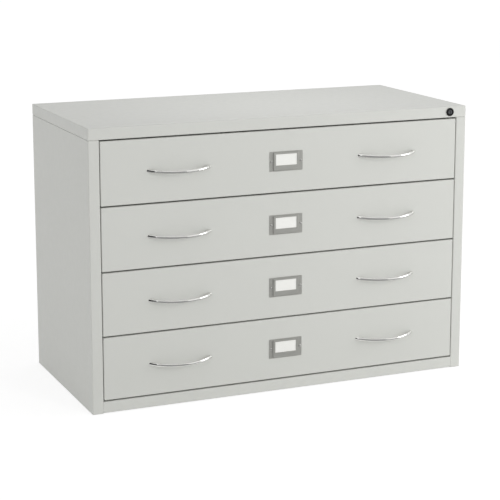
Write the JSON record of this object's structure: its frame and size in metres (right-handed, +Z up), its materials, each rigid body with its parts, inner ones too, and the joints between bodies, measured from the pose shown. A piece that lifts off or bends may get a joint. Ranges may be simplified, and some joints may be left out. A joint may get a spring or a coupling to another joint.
{
  "type": "microfiche cabinet",
  "caption": "Low wide steel cabinet with full-width drawers in rows for microfiche, bow pulls, label holders and a key lock that drops a bar in front of the drawers' catches.",
  "frame": {"origin": "on the floor, under the middle of the cabinet's bounding box, handles and rivets included", "axes": "+X along the width, to the user's right; drawers open towards -Y; +Z up"},
  "size_m": [1.0922, 0.5417, 0.7503],
  "materials": {
    "cabinet_paint": "fine satin powder coat",
    "handle_chrome": "polished chrome plate",
    "zinc_steel": "bright zinc plate",
    "label_nickel": "satin nickel plate",
    "label_card": "matt white card",
    "lock_black": "semi-gloss black",
    "glide_nylon": "moulded nylon"
  },
  "bodies": {
    "case": {"top_cap": "cabinet_paint", "left_side_panel": "cabinet_paint", "right_side_panel": "cabinet_paint", "back_panel": "cabinet_paint", "back_rivets": "zinc_steel", "base_rail": "cabinet_paint", "floor_pan": "cabinet_paint", "leveling_glides": "glide_nylon", "slide_uprights": "cabinet_paint", "case_slide_members": "zinc_steel", "lock_housing": "lock_black", "lock_nut": "zinc_steel", "lock_bar_guides": "zinc_steel"},
    "lock_cylinder": {"lock_plug": "lock_black", "lock_crank": "zinc_steel"},
    "lock_bar": {"lock_bar": "zinc_steel"},
    "drawer_1": {"drawer_1_front": "cabinet_paint", "drawer_1_tray": "cabinet_paint", "drawer_1_dividers": "cabinet_paint", "drawer_1_left_handle": "handle_chrome", "drawer_1_right_handle": "handle_chrome", "drawer_1_handle_screws": "zinc_steel", "drawer_1_label_holder": "label_nickel", "drawer_1_label_card": "label_card", "drawer_1_label_rivets": "label_nickel", "drawer_1_slides": "zinc_steel"},
    "middle_slides_1": {"middle_slides_1": "zinc_steel"},
    "drawer_2": {"drawer_2_front": "cabinet_paint", "drawer_2_tray": "cabinet_paint", "drawer_2_dividers": "cabinet_paint", "drawer_2_left_handle": "handle_chrome", "drawer_2_right_handle": "handle_chrome", "drawer_2_handle_screws": "zinc_steel", "drawer_2_label_holder": "label_nickel", "drawer_2_label_card": "label_card", "drawer_2_label_rivets": "label_nickel", "drawer_2_slides": "zinc_steel"},
    "middle_slides_2": {"middle_slides_2": "zinc_steel"},
    "drawer_3": {"drawer_3_front": "cabinet_paint", "drawer_3_tray": "cabinet_paint", "drawer_3_dividers": "cabinet_paint", "drawer_3_left_handle": "handle_chrome", "drawer_3_right_handle": "handle_chrome", "drawer_3_handle_screws": "zinc_steel", "drawer_3_label_holder": "label_nickel", "drawer_3_label_card": "label_card", "drawer_3_label_rivets": "label_nickel", "drawer_3_slides": "zinc_steel"},
    "middle_slides_3": {"middle_slides_3": "zinc_steel"},
    "drawer_4": {"drawer_4_front": "cabinet_paint", "drawer_4_tray": "cabinet_paint", "drawer_4_dividers": "cabinet_paint", "drawer_4_left_handle": "handle_chrome", "drawer_4_right_handle": "handle_chrome", "drawer_4_handle_screws": "zinc_steel", "drawer_4_label_holder": "label_nickel", "drawer_4_label_card": "label_card", "drawer_4_label_rivets": "label_nickel", "drawer_4_slides": "zinc_steel"},
    "middle_slides_4": {"middle_slides_4": "zinc_steel"}
  },
  "joints": [
    {"name": "drawer_1_travel", "type": "slide", "parent": "case", "child": "drawer_1", "axis": [0, -1, 0], "range_m": [0, 0.42]},
    {"name": "middle_slides_1_travel", "type": "slide", "parent": "case", "child": "middle_slides_1", "axis": [0, -1, 0], "range_m": [0, 0.21]},
    {"name": "drawer_2_travel", "type": "slide", "parent": "case", "child": "drawer_2", "axis": [0, -1, 0], "range_m": [0, 0.42]},
    {"name": "middle_slides_2_travel", "type": "slide", "parent": "case", "child": "middle_slides_2", "axis": [0, -1, 0], "range_m": [0, 0.21]},
    {"name": "drawer_3_travel", "type": "slide", "parent": "case", "child": "drawer_3", "axis": [0, -1, 0], "range_m": [0, 0.42]},
    {"name": "middle_slides_3_travel", "type": "slide", "parent": "case", "child": "middle_slides_3", "axis": [0, -1, 0], "range_m": [0, 0.21]},
    {"name": "drawer_4_travel", "type": "slide", "parent": "case", "child": "drawer_4", "axis": [0, -1, 0], "range_m": [0, 0.42]},
    {"name": "middle_slides_4_travel", "type": "slide", "parent": "case", "child": "middle_slides_4", "axis": [0, -1, 0], "range_m": [0, 0.21]},
    {"name": "key_turn", "type": "hinge", "parent": "case", "child": "lock_cylinder", "pos_m": [0.4951, -0.22835, 0.7348], "axis": [0, 1, 0], "range_deg": [0, 90]},
    {"name": "lock_bar_drop", "type": "slide", "parent": "case", "child": "lock_bar", "axis": [0, 0, -1], "range_m": [0, 0.01414]}
  ],
  "couplings": [
    {"joint": "middle_slides_1_travel", "follows": "drawer_1_travel", "ratio": 0.5},
    {"joint": "middle_slides_2_travel", "follows": "drawer_2_travel", "ratio": 0.5},
    {"joint": "middle_slides_3_travel", "follows": "drawer_3_travel", "ratio": 0.5},
    {"joint": "middle_slides_4_travel", "follows": "drawer_4_travel", "ratio": 0.5},
    {"joint": "key_turn", "follows": "lock_bar_drop", "rad_per_m": 111.07}
  ]
}
